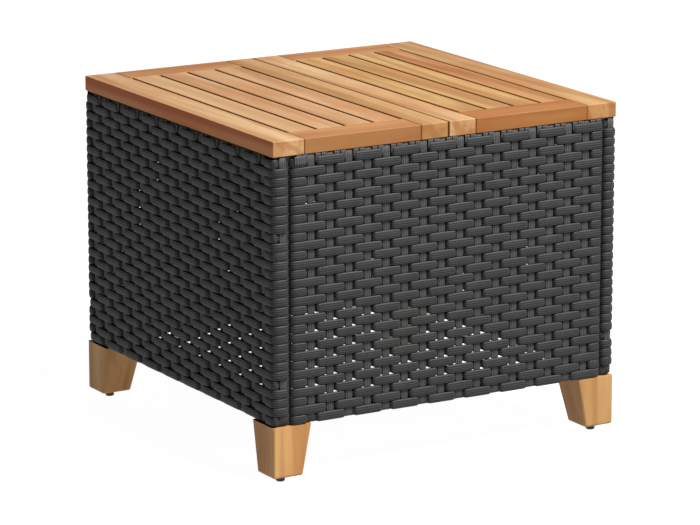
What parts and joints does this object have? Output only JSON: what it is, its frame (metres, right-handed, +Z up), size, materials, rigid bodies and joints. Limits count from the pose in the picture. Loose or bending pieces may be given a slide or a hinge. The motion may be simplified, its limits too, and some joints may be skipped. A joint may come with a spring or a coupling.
{
  "type": "wicker coffee table",
  "caption": "Square garden coffee table: slatted acacia top, black woven plastic wicker sides on a tube frame, short tapered wooden legs with screw-in levelling glides.",
  "frame": {"origin": "on the floor, under the centre of the table top", "axes": "+Z up; the slats run along Y; X runs across the slats; the front faces -Y"},
  "size_m": [0.453, 0.453, 0.389],
  "materials": {
    "acacia": "satin oiled acacia with visible grain",
    "wicker_strand": "satin black polyethylene strand with fine lengthwise ribs",
    "frame_coating": "black powder coating on steel tube",
    "glide_plastic": "satin black moulded plastic",
    "zinc_steel": "bright zinc plated steel",
    "beech_dowel": "plain turned beech"
  },
  "bodies": {
    "table": {"batten_screws": "zinc_steel", "frame_cross_rail": "frame_coating", "frame_lower_rail_back": "frame_coating", "frame_lower_rail_front": "frame_coating", "frame_lower_rail_left": "frame_coating", "frame_lower_rail_right": "frame_coating", "frame_post_back_left": "frame_coating", "frame_post_back_right": "frame_coating", "frame_post_front_left": "frame_coating", "frame_post_front_right": "frame_coating", "frame_screws": "zinc_steel", "frame_upper_rail_back": "frame_coating", "frame_upper_rail_front": "frame_coating", "frame_upper_rail_left": "frame_coating", "frame_upper_rail_right": "frame_coating", "glide_inserts": "zinc_steel", "leg_back_left": "acacia", "leg_back_right": "acacia", "leg_bolts": "zinc_steel", "leg_front_left": "acacia", "leg_front_right": "acacia", "leg_plate_back_left": "frame_coating", "leg_plate_back_right": "frame_coating", "leg_plate_front_left": "frame_coating", "leg_plate_front_right": "frame_coating", "top_dowels": "beech_dowel", "top_left_back_rail": "acacia", "top_left_batten": "acacia", "top_left_front_rail": "acacia", "top_left_inner_stile": "acacia", "top_left_outer_stile": "acacia", "top_left_slat_1": "acacia", "top_left_slat_2": "acacia", "top_left_slat_3": "acacia", "top_left_slat_4": "acacia", "top_right_back_rail": "acacia", "top_right_batten": "acacia", "top_right_front_rail": "acacia", "top_right_inner_stile": "acacia", "top_right_outer_stile": "acacia", "top_right_slat_1": "acacia", "top_right_slat_2": "acacia", "top_right_slat_3": "acacia", "top_right_slat_4": "acacia", "weave_back": "wicker_strand", "weave_front": "wicker_strand", "weave_left": "wicker_strand", "weave_right": "wicker_strand", "weld_nuts": "zinc_steel"},
    "glide_front_left": {"glide_front_left": "glide_plastic"},
    "glide_front_right": {"glide_front_right": "glide_plastic"},
    "glide_back_left": {"glide_back_left": "glide_plastic"},
    "glide_back_right": {"glide_back_right": "glide_plastic"}
  },
  "joints": [
    {"name": "level_front_left", "type": "slide", "parent": "table", "child": "glide_front_left", "axis": [0, 0, -1], "range_m": [0, 0.008]},
    {"name": "level_front_right", "type": "slide", "parent": "table", "child": "glide_front_right", "axis": [0, 0, -1], "range_m": [0, 0.008]},
    {"name": "level_back_left", "type": "slide", "parent": "table", "child": "glide_back_left", "axis": [0, 0, -1], "range_m": [0, 0.008]},
    {"name": "level_back_right", "type": "slide", "parent": "table", "child": "glide_back_right", "axis": [0, 0, -1], "range_m": [0, 0.008]}
  ]
}
